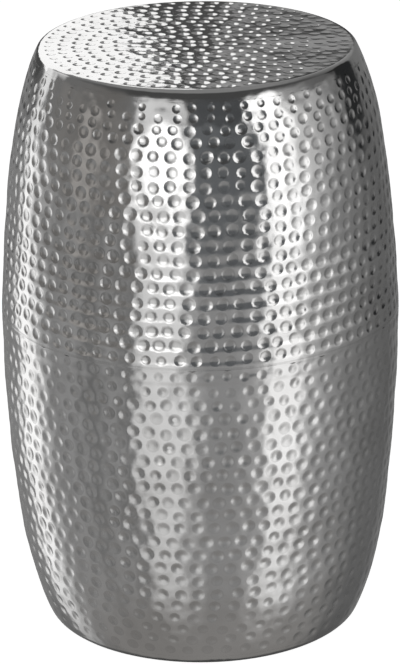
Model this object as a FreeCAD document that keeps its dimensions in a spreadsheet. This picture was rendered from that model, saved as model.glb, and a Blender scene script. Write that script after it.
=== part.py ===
# Drum side table: a hollow barrel of sheet aluminium, open underneath, standing on four rubber feet.
# Millimetres, +Z up, origin on the floor at the middle of the drum.
# The wall is two shells that butt at a girth seam with a band behind it. A spun cap closes the top, and a cap
# like it with its middle cut out makes the foot. The skirt of each cap is set in and lies behind its seam.
import FreeCAD, Part
import math
import os
import Sketcher

FOOT_COUNT = 4

SIZES = {
    # The drum's outside: one long arc at the waist, a tighter arc at each shoulder, and a small one at the rim
    # of the top and at the corner of the base.
    "drum_height": 450,
    "waist_diameter": 300,
    "waist_arc_radius": 1047,
    "shoulder_rise": 161,
    "shoulder_radius": 223.4,
    "rim_radius": 5,
    "corner_radius": 9.6,
    # The sheet and the gap between sheets that lie on each other.
    "sheet_thickness": 2,
    "fit_gap": 0.1,
    # The caps: the plain strip past the corner, the skirt set in behind the wall, the bend inside the corner.
    "rim_land": 0.6,
    "skirt_length": 12,
    "fold_radius": 4,
    # The seams, and how far the girth seam lies above half height.
    "girth_rise": 24,
    "weld_width": 2,
    "weld_crown": 0.06,
    "band_thickness": 2,
    "band_width": 50,
    # The foot flange and its wired edge.
    "flange_width": 30,
    "edge_wire_diameter": 4,
    "wire_gap": 0.3,
    # The rubber feet.
    "foot_height": 5,
    "foot_inset": 15.5,
    "foot_diameter": 20,
    "foot_tip_diameter": 17,
    "foot_edge": 0.8,
    "foot_web": 2,
    # The screws, washers and nuts of the feet.
    "screw_diameter": 4,
    "screw_clearance": 0.25,
    "thread_gap": 0.05,
    "head_diameter": 7.5,
    "head_height": 2.4,
    "head_round": 0.9,
    "head_clearance": 0.5,
    "cross_length": 4,
    "cross_width": 1,
    "cross_depth": 1.3,
    "washer_diameter": 9,
    "washer_thickness": 0.8,
    "nut_across_flats": 7,
    "nut_height": 3.2,
    "screw_tail": 1.5,
}

# Values that follow from the sizes: arc centres, where the arcs meet, and heights above the floor.
DERIVED = {
    "half_height": "Sizes.drum_height / 2",
    "mid_height": "Sizes.foot_height + half_height",
    "waist_centre": "Sizes.waist_diameter / 2 - Sizes.waist_arc_radius",
    "shoulder_sine": "Sizes.shoulder_rise / Sizes.waist_arc_radius",
    "shoulder_cosine": "sqrt(1 - shoulder_sine ^ 2)",
    "shoulder_centre": "waist_centre + (Sizes.waist_arc_radius - Sizes.shoulder_radius) * shoulder_cosine",
    "shoulder_centre_rise": "(Sizes.waist_arc_radius - Sizes.shoulder_radius) * shoulder_sine",
    "corner_rise": "half_height - Sizes.corner_radius - shoulder_centre_rise",
    "corner_sine": "corner_rise / (Sizes.shoulder_radius - Sizes.corner_radius)",
    "corner_cosine": "sqrt(1 - corner_sine ^ 2)",
    "flat_radius": "shoulder_centre + (Sizes.shoulder_radius - Sizes.corner_radius) * corner_cosine",
    "rim_rise": "half_height - Sizes.rim_radius - shoulder_centre_rise",
    "rim_sine": "rim_rise / (Sizes.shoulder_radius - Sizes.rim_radius)",
    "rim_cosine": "sqrt(1 - rim_sine ^ 2)",
    "disc_radius": "shoulder_centre + (Sizes.shoulder_radius - Sizes.rim_radius) * rim_cosine",
    "cap_edge": "shoulder_centre_rise + Sizes.shoulder_radius * corner_sine - Sizes.rim_land",
    "cap_seam": "cap_edge - Sizes.weld_width / 2",
    "shell_edge": "cap_edge - Sizes.weld_width",
    "skirt_end": "cap_edge - Sizes.skirt_length",
    "seat": "Sizes.sheet_thickness + Sizes.fit_gap",
    "skirt_back": "seat + Sizes.sheet_thickness",
    "band_back": "seat + Sizes.band_thickness",
    "skirt_arc": "Sizes.shoulder_radius - skirt_back",
    "fold_rise": "half_height - Sizes.sheet_thickness - Sizes.fold_radius - shoulder_centre_rise",
    "fold_sine": "fold_rise / (skirt_arc - Sizes.fold_radius)",
    "fold_cosine": "sqrt(1 - fold_sine ^ 2)",
    "fold_centre": "shoulder_centre + (skirt_arc - Sizes.fold_radius) * fold_cosine",
    "skirt_top_radius": "shoulder_centre + skirt_arc * fold_cosine",
    "skirt_top": "shoulder_centre_rise + skirt_arc * fold_sine",
    "flange_top": "Sizes.foot_height + Sizes.sheet_thickness",
    "curl_bore": "Sizes.edge_wire_diameter / 2 + Sizes.wire_gap",
    "curl_radius": "curl_bore + Sizes.sheet_thickness",
    "curl_centre": "flat_radius - Sizes.flange_width + curl_radius",
    "curl_height": "Sizes.foot_height + curl_radius",
    "foot_circle_radius": "flat_radius - Sizes.foot_inset",
    "recess_depth": "Sizes.foot_height - Sizes.foot_web",
    "recess_radius": "Sizes.head_diameter / 2 + Sizes.head_clearance",
    "screw_hole_radius": "Sizes.screw_diameter / 2 + Sizes.screw_clearance",
    "head_face": "recess_depth - Sizes.head_height",
    "nut_seat": "flange_top + Sizes.washer_thickness",
    "screw_end": "nut_seat + Sizes.nut_height + Sizes.screw_tail",
}

doc = FreeCAD.newDocument("drum_side_table")


# The two sheets: sizes that can be set, and what follows from them.
def fill_sheet(name, cells, prefix):
    sheet = doc.addObject("Spreadsheet::Sheet", name)
    for row, (alias, content) in enumerate(cells.items(), start=1):
        sheet.set(f"A{row}", alias)
        sheet.set(f"B{row}", prefix + str(content))
        sheet.setAlias(f"B{row}", alias)
    doc.recompute()
    return sheet


sizes = fill_sheet("Sizes", SIZES, "")
derived = fill_sheet("Derived", DERIVED, "=")


def value_of(expression):
    return float(derived.evalExpression(expression))


# Sections: a closed outline in the plane of radius and height, every corner and radius bound to the sheets.
def origin_feature(body, role):
    return next(item for item in body.Origin.OriginFeatures if item.Role == role)


def new_sketch(body, name, plane_role):
    sketch = body.newObject("Sketcher::SketchObject", name)
    sketch.AttachmentSupport = [(origin_feature(body, plane_role), "")]
    sketch.MapMode = "FlatFace"
    return sketch


def bind(sketch, constraint, expression):
    index = sketch.addConstraint(constraint)
    sketch.setExpression(f"Constraints[{index}]", expression)


def arc_between(start, end, radius, turn):
    """The shorter arc from start to end, as geometry that always runs anticlockwise."""
    chord = end - start
    apex = math.sqrt(max(radius ** 2 - chord.Length ** 2 / 4, 0))
    side = FreeCAD.Vector(-chord.y, chord.x, 0).normalize()
    centre = (start + end) / 2 + side * (apex if turn == "left" else -apex)
    first, last = (start, end) if turn == "left" else (end, start)
    angles = [math.atan2(point.y - centre.y, point.x - centre.x) for point in (first, last)]
    circle = Part.Circle(centre, FreeCAD.Vector(0, 0, 1), radius)
    return Part.ArcOfCircle(circle, angles[0], angles[1])


def draw_section(sketch, corners):
    """Each corner is (radius, height) or (radius, height, turn, arc radius) for an arc to the next corner."""
    points = [FreeCAD.Vector(value_of(corner[0]), value_of(corner[1]), 0) for corner in corners]
    ends = []
    for number, corner in enumerate(corners):
        start = points[number]
        end = points[(number + 1) % len(points)]
        if len(corner) == 2:
            edge = sketch.addGeometry(Part.LineSegment(start, end))
            ends.append((edge, 1, 2))
            continue
        turn, arc_radius = corner[2:]
        edge = sketch.addGeometry(arc_between(start, end, value_of(arc_radius), turn))
        ends.append((edge, 1, 2) if turn == "left" else (edge, 2, 1))
        bind(sketch, Sketcher.Constraint("Radius", edge, value_of(arc_radius)), arc_radius)
    for number, (edge, first, last) in enumerate(ends):
        next_edge, next_first, _ = ends[(number + 1) % len(ends)]
        sketch.addConstraint(Sketcher.Constraint("Coincident", edge, last, next_edge, next_first))
        radius, height = corners[number][:2]
        point = points[number]
        if radius == "0":
            sketch.addConstraint(Sketcher.Constraint("PointOnObject", edge, first, -2))
        else:
            bind(sketch, Sketcher.Constraint("DistanceX", -1, 1, edge, first, point.x), radius)
        bind(sketch, Sketcher.Constraint("DistanceY", -1, 1, edge, first, point.y), height)


def revolved_body(label, corners):
    body = doc.addObject("PartDesign::Body", label)
    section = new_sketch(body, f"{label}_section", "XZ_Plane")
    draw_section(section, corners)
    turned = body.newObject("PartDesign::Revolution", f"{label}_turned")
    turned.Profile = section
    turned.ReferenceAxis = (section, ["V_Axis"])
    turned.Angle = 360
    body.Tip = turned
    return body


# The wall's outline: points on the drum's arcs, a given depth in from its outer face.
def above(rise):
    return f"Derived.mid_height + ({rise})"


def below(rise):
    return f"Derived.mid_height - ({rise})"


def waist_arc(depth):
    return f"Sizes.waist_arc_radius - ({depth})"


def shoulder_arc(depth):
    return f"Sizes.shoulder_radius - ({depth})"


def on_waist(depth, rise):
    return f"Derived.waist_centre + sqrt(({waist_arc(depth)}) ^ 2 - ({rise}) ^ 2)"


def on_shoulder(depth, rise):
    return (f"Derived.shoulder_centre + sqrt(({shoulder_arc(depth)}) ^ 2"
            f" - (({rise}) - Derived.shoulder_centre_rise) ^ 2)")


def shoulder_start(depth, side):
    """Where the waist arc runs into the shoulder arc."""
    radius = f"Derived.waist_centre + ({waist_arc(depth)}) * Derived.shoulder_cosine"
    return radius, side(f"({waist_arc(depth)}) * Derived.shoulder_sine")


def corner_start(depth, side, bend):
    """Where the shoulder arc runs into the arc of a bend, the rim or the corner."""
    radius = f"Derived.shoulder_centre + ({shoulder_arc(depth)}) * Derived.{bend}_cosine"
    return radius, side(f"Derived.shoulder_centre_rise + ({shoulder_arc(depth)}) * Derived.{bend}_sine")


OUTSIDE = "0"
INSIDE = "Sizes.sheet_thickness"
SEAT = "Derived.seat"
HALF_WELD = "Sizes.weld_width / 2"
CAP_EDGE = "Derived.cap_edge"
SHELL_EDGE = "Derived.shell_edge"
SKIRT_END = "Derived.skirt_end"
SKIRT_BACK = "Derived.skirt_back"


# The caps: the top plate is whole with a tight rim. The base ring has a wider corner and a wired edge round its
# opening.
def make_top_plate():
    top = above("Derived.half_height")
    underside = above("Derived.half_height - Sizes.sheet_thickness")
    return revolved_body("top_plate", [
        ("0", underside),
        ("Derived.fold_centre", underside, "right", "Sizes.fold_radius"),
        ("Derived.skirt_top_radius", above("Derived.skirt_top"), "right", shoulder_arc(SKIRT_BACK)),
        (on_shoulder(SKIRT_BACK, SKIRT_END), above(SKIRT_END)),
        (on_shoulder(SEAT, SKIRT_END), above(SKIRT_END), "left", shoulder_arc(SEAT)),
        (on_shoulder(SEAT, CAP_EDGE), above(CAP_EDGE)),
        (on_shoulder(OUTSIDE, CAP_EDGE), above(CAP_EDGE), "left", shoulder_arc(OUTSIDE)),
        (*corner_start(OUTSIDE, above, "rim"), "left", "Sizes.rim_radius"),
        ("Derived.disc_radius", top),
        ("0", top),
    ])


def on_curl(radius, angle):
    """A point of the curled edge, with angles from the +X side turning upward."""
    return (f"Derived.curl_centre + {radius} * cos({angle} deg)",
            f"Derived.curl_height + {radius} * sin({angle} deg)")


def make_base_ring():
    bore = "Derived.curl_bore"
    roll = "Derived.curl_radius"
    body = revolved_body("base_ring", [
        ("Derived.flat_radius", "Sizes.foot_height", "left", "Sizes.corner_radius"),
        (*corner_start(OUTSIDE, below, "corner"), "left", shoulder_arc(OUTSIDE)),
        (on_shoulder(OUTSIDE, CAP_EDGE), below(CAP_EDGE)),
        (on_shoulder(SEAT, CAP_EDGE), below(CAP_EDGE), "left", shoulder_arc(SEAT)),
        (on_shoulder(SEAT, SKIRT_END), below(SKIRT_END)),
        (on_shoulder(SKIRT_BACK, SKIRT_END), below(SKIRT_END), "right", shoulder_arc(SKIRT_BACK)),
        ("Derived.skirt_top_radius", below("Derived.skirt_top"), "right", "Sizes.fold_radius"),
        ("Derived.fold_centre", "Derived.flange_top"),
        ("Derived.curl_centre", "Derived.flange_top", "right", bore),
        (*on_curl(bore, 150), "right", bore),
        on_curl(bore, 30),
        (*on_curl(roll, 30), "left", roll),
        (*on_curl(roll, 150), "left", roll),
        ("Derived.curl_centre", "Sizes.foot_height"),
    ])
    drill_foot_holes(body)
    return body


# The feet stand half way between the drum's axes.
def foot_angle(number):
    return 360 / FOOT_COUNT * (number + 0.5)


def on_foot_circle(number):
    angle = foot_angle(number)
    return f"Derived.foot_circle_radius * cos({angle} deg)", f"Derived.foot_circle_radius * sin({angle} deg)"


def drill_foot_holes(body):
    circle = new_sketch(body, "foot_hole_circle", "XY_Plane")
    across, along = on_foot_circle(0)
    middle = FreeCAD.Vector(value_of(across), value_of(along), 0)
    radius = value_of("Derived.screw_hole_radius")
    edge = circle.addGeometry(Part.Circle(middle, FreeCAD.Vector(0, 0, 1), radius))
    bind(circle, Sketcher.Constraint("Radius", edge, radius), "Derived.screw_hole_radius")
    bind(circle, Sketcher.Constraint("DistanceX", -1, 1, edge, 3, middle.x), across)
    bind(circle, Sketcher.Constraint("DistanceY", -1, 1, edge, 3, middle.y), along)
    hole = body.newObject("PartDesign::Pocket", "foot_hole")
    hole.Profile = circle
    hole.Reversed = True
    hole.setExpression("Length", "Derived.nut_seat")
    body.Tip = hole
    doc.recompute()
    ring = body.newObject("PartDesign::PolarPattern", "foot_hole_ring")
    ring.Originals = [hole]
    ring.Axis = (origin_feature(body, "Z_Axis"), [""])
    ring.Angle = 360
    body.Tip = ring
    ring.Occurrences = FOOT_COUNT


# The two shells of the wall, from the girth seam to the cap seams.
def make_upper_shell():
    girth_edge = f"Sizes.girth_rise + {HALF_WELD}"
    return revolved_body("upper_shell", [
        (on_waist(OUTSIDE, girth_edge), above(girth_edge), "left", waist_arc(OUTSIDE)),
        (*shoulder_start(OUTSIDE, above), "left", shoulder_arc(OUTSIDE)),
        (on_shoulder(OUTSIDE, SHELL_EDGE), above(SHELL_EDGE)),
        (on_shoulder(INSIDE, SHELL_EDGE), above(SHELL_EDGE), "right", shoulder_arc(INSIDE)),
        (*shoulder_start(INSIDE, above), "right", waist_arc(INSIDE)),
        (on_waist(INSIDE, girth_edge), above(girth_edge)),
    ])


def make_lower_shell():
    girth_edge = f"Sizes.girth_rise - {HALF_WELD}"
    return revolved_body("lower_shell", [
        (on_shoulder(OUTSIDE, SHELL_EDGE), below(SHELL_EDGE), "left", shoulder_arc(OUTSIDE)),
        (*shoulder_start(OUTSIDE, below), "left", waist_arc(OUTSIDE)),
        (on_waist(OUTSIDE, girth_edge), above(girth_edge)),
        (on_waist(INSIDE, girth_edge), above(girth_edge), "right", waist_arc(INSIDE)),
        (*shoulder_start(INSIDE, below), "right", shoulder_arc(INSIDE)),
        (on_shoulder(INSIDE, SHELL_EDGE), below(SHELL_EDGE)),
    ])


# The three seams: a weld fills each butt gap. The cap skirts back two of them, and a band backs the girth seam.
def make_weld(label, on_wall, arc, side, seam_rise):
    near = f"{seam_rise} - {HALF_WELD}"
    far = f"{seam_rise} + {HALF_WELD}"
    low, high = (near, far) if side is above else (far, near)
    crown_arc = "(Sizes.weld_width ^ 2 / 4 + Sizes.weld_crown ^ 2) / (2 * Sizes.weld_crown)"
    return revolved_body(label, [
        (on_wall(OUTSIDE, low), side(low), "left", crown_arc),
        (on_wall(OUTSIDE, high), side(high)),
        (on_wall(SEAT, high), side(high), "right", arc(SEAT)),
        (on_wall(SEAT, low), side(low)),
    ])


def make_girth_band():
    low = "Sizes.girth_rise - Sizes.band_width / 2"
    high = "Sizes.girth_rise + Sizes.band_width / 2"
    back = "Derived.band_back"
    return revolved_body("girth_band", [
        (on_waist(SEAT, low), above(low), "left", waist_arc(SEAT)),
        (on_waist(SEAT, high), above(high)),
        (on_waist(back, high), above(high), "right", waist_arc(back)),
        (on_waist(back, low), above(low)),
    ])


def make_seams():
    return [
        make_weld("rim_weld", on_shoulder, shoulder_arc, above, "Derived.cap_seam"),
        make_weld("girth_weld", on_waist, waist_arc, above, "Sizes.girth_rise"),
        make_weld("base_weld", on_shoulder, shoulder_arc, below, "Derived.cap_seam"),
        make_girth_band(),
    ]


# The wire inside the curled edge of the base ring.
def make_edge_wire():
    wire = doc.addObject("Part::Torus", "edge_wire")
    wire.setExpression("Radius1", "Derived.curl_centre")
    wire.setExpression("Radius2", "Sizes.edge_wire_diameter / 2")
    wire.setExpression("Placement.Base.z", "Derived.curl_height")
    return wire


# One foot: rubber pad, screw from below, washer and nut on the flange.
def set_on_foot_circle(piece, number):
    piece.Placement.Rotation = FreeCAD.Rotation(FreeCAD.Vector(0, 0, 1), foot_angle(number))
    across, along = on_foot_circle(number)
    piece.setExpression("Placement.Base.x", across)
    piece.setExpression("Placement.Base.y", along)


def make_rubber_foot(label):
    return revolved_body(label, [
        ("Derived.recess_radius", "0"),
        ("Sizes.foot_tip_diameter / 2 - Sizes.foot_edge", "0"),
        ("Sizes.foot_tip_diameter / 2", "Sizes.foot_edge"),
        ("Sizes.foot_diameter / 2", "Sizes.foot_height"),
        ("Derived.screw_hole_radius", "Sizes.foot_height"),
        ("Derived.screw_hole_radius", "Derived.recess_depth"),
        ("Derived.recess_radius", "Derived.recess_depth"),
    ])


def make_foot_screw(label):
    body = revolved_body(label, [
        ("0", "Derived.head_face"),
        ("Sizes.head_diameter / 2 - Sizes.head_round", "Derived.head_face", "left", "Sizes.head_round"),
        ("Sizes.head_diameter / 2", "Derived.head_face + Sizes.head_round"),
        ("Sizes.head_diameter / 2", "Derived.recess_depth"),
        ("Sizes.screw_diameter / 2", "Derived.recess_depth"),
        ("Sizes.screw_diameter / 2", "Derived.screw_end"),
        ("0", "Derived.screw_end"),
    ])
    for number, (along, across) in enumerate([("cross_length", "cross_width"), ("cross_width", "cross_length")]):
        cut_cross_slot(body, f"{label}_slot_{number + 1}", f"Sizes.{along} / 2", f"Sizes.{across} / 2")
    return body


def cut_cross_slot(body, name, half_along, half_across):
    sketch = new_sketch(body, name, "XY_Plane")
    signs = [(-1, -1), (1, -1), (1, 1), (-1, 1)]
    corners = [(f"{along} * {half_along}", f"{across} * {half_across}") for along, across in signs]
    draw_section(sketch, corners)
    slot = body.newObject("PartDesign::Pocket", f"{name}_pocket")
    slot.Profile = sketch
    slot.Reversed = True
    slot.setExpression("Length", "Derived.head_face + Sizes.cross_depth")
    body.Tip = slot


def bored(label, blank, bore_radius, height, thickness):
    """A flat blank with a round bore, standing on a given height."""
    bore = doc.addObject("Part::Cylinder", f"{label}_bore")
    bore.setExpression("Radius", bore_radius)
    for solid in (blank, bore):
        solid.setExpression("Height", thickness)
        solid.setExpression("Placement.Base.z", height)
    piece = doc.addObject("Part::Cut", label)
    piece.Base = blank
    piece.Tool = bore
    return piece


def make_foot_washer(label):
    blank = doc.addObject("Part::Cylinder", f"{label}_blank")
    blank.setExpression("Radius", "Sizes.washer_diameter / 2")
    return bored(label, blank, "Derived.screw_hole_radius", "Derived.flange_top", "Sizes.washer_thickness")


def make_foot_nut(label):
    blank = doc.addObject("Part::Prism", f"{label}_blank")
    blank.Polygon = 6
    blank.setExpression("Circumradius", "Sizes.nut_across_flats / sqrt(3)")
    thread = "Sizes.screw_diameter / 2 + Sizes.thread_gap"
    return bored(label, blank, thread, "Derived.nut_seat", "Sizes.nut_height")


def make_feet():
    makers = {
        "foot": make_rubber_foot,
        "foot_screw": make_foot_screw,
        "foot_washer": make_foot_washer,
        "foot_nut": make_foot_nut,
    }
    pieces = []
    for number in range(FOOT_COUNT):
        for name, make in makers.items():
            piece = make(f"{name}_{number + 1}")
            set_on_foot_circle(piece, number)
            pieces.append(piece)
    return pieces


# Build, check and write every piece.
def check(pieces):
    for item in doc.Objects:
        if "Invalid" in item.State or "Error" in item.State:
            raise RuntimeError(f"{item.Label} did not build")
    for piece in pieces:
        if piece.Shape.isNull() or not piece.Shape.isValid() or len(piece.Shape.Solids) != 1:
            raise RuntimeError(f"{piece.Label} is not one valid solid")
    ring = doc.getObject("base_ring")
    drilled = doc.getObject("base_ring_turned").Shape.Volume - ring.Shape.Volume
    wanted = FOOT_COUNT * math.pi * derived.screw_hole_radius ** 2 * sizes.sheet_thickness
    if abs(drilled - wanted) > 0.01 * wanted:
        raise RuntimeError("the foot holes do not go through the flange")


def write(pieces):
    os.makedirs("parts", exist_ok=True)
    for piece in pieces:
        piece.Shape.exportStep(f"parts/{piece.Label}.step")
        box = piece.Shape.BoundBox
        print(f"{piece.Label}: {piece.Shape.Volume / 1000:.2f} cm3, z {box.ZMin:.2f} to {box.ZMax:.2f}")


pieces = [make_top_plate(), make_upper_shell(), make_lower_shell(), make_base_ring()]
pieces += make_seams()
pieces.append(make_edge_wire())
pieces += make_feet()
doc.recompute()
check(pieces)
write(pieces)
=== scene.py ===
# %% [markdown]
# # A hammered metal drum as a side table
# The real object is a hollow barrel of thin bright metal, beaten all over with
# a round hammer: a flat round top, a wall that swells to its waist, and a base
# rolled in at the foot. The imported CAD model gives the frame: its axes and its
# metres are used below and the edges of its pieces are read from it, so the new
# pieces need no fitting.

# %% Load the frame
import math
import random
import bpy
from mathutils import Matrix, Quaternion, Vector
from mathutils.kdtree import KDTree


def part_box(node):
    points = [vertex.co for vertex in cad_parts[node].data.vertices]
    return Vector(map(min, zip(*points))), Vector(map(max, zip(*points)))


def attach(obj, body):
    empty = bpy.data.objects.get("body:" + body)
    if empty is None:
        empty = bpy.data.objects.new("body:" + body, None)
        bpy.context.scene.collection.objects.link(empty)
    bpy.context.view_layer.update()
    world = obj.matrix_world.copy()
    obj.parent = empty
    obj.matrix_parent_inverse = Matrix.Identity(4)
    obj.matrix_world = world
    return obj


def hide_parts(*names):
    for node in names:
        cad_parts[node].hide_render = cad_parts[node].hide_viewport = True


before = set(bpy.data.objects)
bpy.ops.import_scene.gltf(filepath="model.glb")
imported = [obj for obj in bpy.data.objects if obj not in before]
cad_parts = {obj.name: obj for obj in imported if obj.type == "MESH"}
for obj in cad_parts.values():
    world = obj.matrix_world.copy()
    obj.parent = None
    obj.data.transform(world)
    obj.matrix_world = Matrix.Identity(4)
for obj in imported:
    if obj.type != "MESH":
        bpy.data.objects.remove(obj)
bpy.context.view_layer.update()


# %% [markdown]
# ## The camera
# A long lens from about three metres keeps the barrel's sides nearly parallel,
# as they are in the photograph. The camera looks down a little on the top and
# leans a touch to one side, so it is aimed by its direction and then rolled.
# A shorter lens close by would widen the top and narrow the foot too much.

# %% Camera at the photograph's angle
DRUM_MIDDLE = 0.230
AIM = Vector((-0.0005, 0.0, 0.2275))
DISTANCE = 3.0
ELEVATION = math.radians(20.44)
ROLL = math.radians(-0.76)
from_drum = Vector((0.0, -math.cos(ELEVATION), math.sin(ELEVATION)))
bpy.ops.object.select_all(action="DESELECT")
bpy.ops.object.camera_add(location=Vector((0.0, 0.0, DRUM_MIDDLE)) + DISTANCE * from_drum)
camera = bpy.context.object
camera.name = "photo_camera"
camera.data.lens = 214.6
camera.data.sensor_width = 36.0
camera.rotation_mode = "QUATERNION"
looking = (AIM - camera.location).to_track_quat("-Z", "Y")
camera.rotation_quaternion = looking @ Quaternion((0.0, 0.0, 1.0), ROLL)
bpy.context.scene.camera = camera
bpy.context.scene.view_settings.view_transform = "Standard"
print("camera at", [round(v, 3) for v in camera.location])

# %% [markdown]
# ## The studio
# Polished metal has hardly any colour of its own: it shows the room. The room
# here has two tall soft lights in front with a dark gap between them, one more
# at the left, a dim ceiling, and a grey ground that catches the lights' glare.
# Area lamps could make it, but a mirror shows a far lamp by its direction only,
# so the world is painted by direction and no lamp has to be placed by trial.
#
# Each layer of the room goes round the compass in stops. A stop is a direction
# in degrees from the camera's side, plus to the right, then a brightness and,
# for some, a cool tint. The left one of the two front lights is brightest in a
# band just over the horizon, the lamp's head, which makes a layer of its own.
# The list of layers says between which two heights, in degrees over the
# horizon, each one takes over from the one below it.

# %% Brightness round the compass
DEEP_GROUND = [
    (-180, 0.05), (-125, 0.08), (-95, 0.215, -0.03), (95, 0.215, -0.03), (125, 0.08), (180, 0.05),
]
GROUND = [
    (-180, 0.24), (-150, 0.22), (-145, 0.20), (-134, 0.30), (-128, 1.12), (-119, 1.12), (-109, 0.44),
    (-94, 0.22), (-80, 0.28), (-68, 0.14), (-54, 0.28), (-43, 0.15), (-34, 0.66), (-16, 0.75), (-8, 0.40),
    (2, 0.255), (20, 0.265), (34, 0.39), (43, 1.02), (55, 1.02), (64, 0.48), (76, 0.30), (95, 0.20),
    (118, 0.14), (142, 0.12), (156, 0.17), (180, 0.24),
]
ROOM = [
    (-180, 0.05), (-141, 0.06), (-132, 0.12), (-127, 0.82), (-121, 0.82), (-116, 0.15),
    (-100, 0.19, -0.03), (-84, 0.16, -0.03), (-77, 0.34, -0.04), (-70, 0.34, -0.04), (-62, 0.16, -0.04),
    (-41, 0.20, -0.03), (-36, 0.58), (-24, 0.80), (-17, 0.80), (-9, 0.66), (-4, 0.16, 0.03),
    (0, 0.13, 0.05), (34, 0.11, 0.05), (39, 0.16, 0.03), (44, 1.35), (57, 1.35), (66, 0.66), (84, 0.43),
    (101, 0.21), (110, 0.14), (114, 0.02, 0.04), (135, 0.02, 0.04), (140, 0.16), (164, 0.17), (172, 0.05),
]
LAMP_HEAD = {-36: 0.80, -24: 1.60, -17: 1.60, -9: 0.92}
LIT_ROOM = [(degrees, LAMP_HEAD.get(degrees, light), *tint) for degrees, light, *tint in ROOM]
UPPER_ROOM = [
    (-180, 0.31), (-150, 0.20), (-126, 0.15), (-121, 0.64), (-114, 0.64), (-107, 0.15), (-60, 0.14, -0.04),
    (-45, 0.15), (-39, 0.70), (-12, 0.60), (-5, 0.10), (0, 0.075, 0.05), (31, 0.066, 0.05), (37, 1.40),
    (54, 1.30), (62, 0.36), (90, 0.13), (108, 0.10), (113, 0.02), (136, 0.02), (141, 0.18), (160, 0.24),
    (180, 0.31),
]
CEILING = [
    (-180, 0.24), (-140, 0.22), (-104, 0.12), (-50, 0.06), (50, 0.06), (104, 0.08), (140, 0.16),
    (180, 0.24),
]
ZENITH = [(-180, 0.22), (180, 0.22)]
LAYERS = (
    (-66, -24, GROUND), (-13, -1, ROOM), (-6, 0, LIT_ROOM),
    (13, 19, UPPER_ROOM), (26, 34, CEILING), (44, 62, ZENITH),
)
print("stops in each layer:", [len(stops) for low, high, stops in LAYERS])

# %% [markdown]
# A node tree is easier to read when each step of it is one call. These helpers
# add a node or two, link them and return the output, so the trees below can be
# written like sums. The metals use some of them too.


# %% Steps for node trees
def math_step(nodes, links, kind, first, second):
    """One step of arithmetic on two values, each a number or the output of another node."""
    step = nodes.new("ShaderNodeMath")
    step.operation = kind
    for socket, value in zip(step.inputs, (first, second)):
        if isinstance(value, float):
            socket.default_value = value
        else:
            links.new(value, socket)
    return step.outputs["Value"]


def fade(nodes, links, value, start, end):
    """Goes softly from 0 to 1 while the value goes from start to end."""
    share = nodes.new("ShaderNodeMapRange")
    share.interpolation_type = "SMOOTHSTEP"
    share.inputs["From Min"].default_value = start
    share.inputs["From Max"].default_value = end
    links.new(value, share.inputs["Value"])
    return share.outputs["Result"]


def compass_ramp(nodes, links, compass, stops):
    """A ramp over the whole turn, made of stops as described above."""
    ramp = nodes.new("ShaderNodeValToRGB")
    places = ramp.color_ramp
    while len(places.elements) < len(stops):
        places.elements.new(0.5)
    for element, (degrees, light, *tint) in zip(places.elements, stops):
        cool = sum(tint)
        element.position = (degrees + 180.0) / 360.0
        element.color = (light * (1 - cool), light, light * (1 + cool), 1.0)
    links.new(compass, ramp.inputs["Fac"])
    return ramp.outputs["Color"]


def by_height(nodes, links, height, low, high, below, above):
    """Goes from one colour to another between two heights on the sky, given in degrees."""
    share = fade(nodes, links, height, math.sin(math.radians(low)), math.sin(math.radians(high)))
    mix = nodes.new("ShaderNodeMix")
    mix.data_type = "RGBA"
    links.new(share, mix.inputs["Factor"])
    links.new(below, mix.inputs["A"])
    links.new(above, mix.inputs["B"])
    return mix.outputs["Result"]


print("layers take over between", [(low, high) for low, high, stops in LAYERS], "degrees")

# %% [markdown]
# The world turns the direction of each ray into a compass angle and a height,
# and stacks the layers. Only the light on the metal sees them. The camera sees
# plain white instead.

# %% World of the studio
world = bpy.data.worlds.new("studio")
bpy.context.scene.world = world
world.use_nodes = True
nodes, links = world.node_tree.nodes, world.node_tree.links
nodes.clear()
split = nodes.new("ShaderNodeSeparateXYZ")
links.new(nodes.new("ShaderNodeTexCoord").outputs["Generated"], split.inputs["Vector"])
toward = math_step(nodes, links, "MULTIPLY", split.outputs["Y"], -1.0)
angle = math_step(nodes, links, "ARCTAN2", split.outputs["X"], toward)
turn = nodes.new("ShaderNodeMapRange")
turn.inputs["From Min"].default_value = -math.pi
turn.inputs["From Max"].default_value = math.pi
links.new(angle, turn.inputs["Value"])
compass = turn.outputs["Result"]
sky = compass_ramp(nodes, links, compass, DEEP_GROUND)
for low, high, stops in LAYERS:
    layer = compass_ramp(nodes, links, compass, stops)
    sky = by_height(nodes, links, split.outputs["Z"], low, high, sky, layer)
studio_light = nodes.new("ShaderNodeBackground")
links.new(sky, studio_light.inputs["Color"])
white_wall = nodes.new("ShaderNodeBackground")
white_wall.inputs["Color"].default_value = (1.0, 1.0, 1.0, 1.0)
seen = nodes.new("ShaderNodeMixShader")
links.new(nodes.new("ShaderNodeLightPath").outputs["Is Camera Ray"], seen.inputs["Fac"])
links.new(studio_light.outputs["Background"], seen.inputs[1])
links.new(white_wall.outputs["Background"], seen.inputs[2])
links.new(seen.outputs["Shader"], nodes.new("ShaderNodeOutputWorld").inputs["Surface"])
print("world nodes:", len(nodes))

# %% [markdown]
# A white card in two parts, one on the other, stands behind the drum on the
# left. The flat top mirrors it, so one half of the top is bright and the other
# takes the grey of the room. The lower part leans at its right side, and a dark
# flag beside it parts the two halves. They could be painted into the world too,
# but a plane has straight edges and can be moved by itself.


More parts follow.
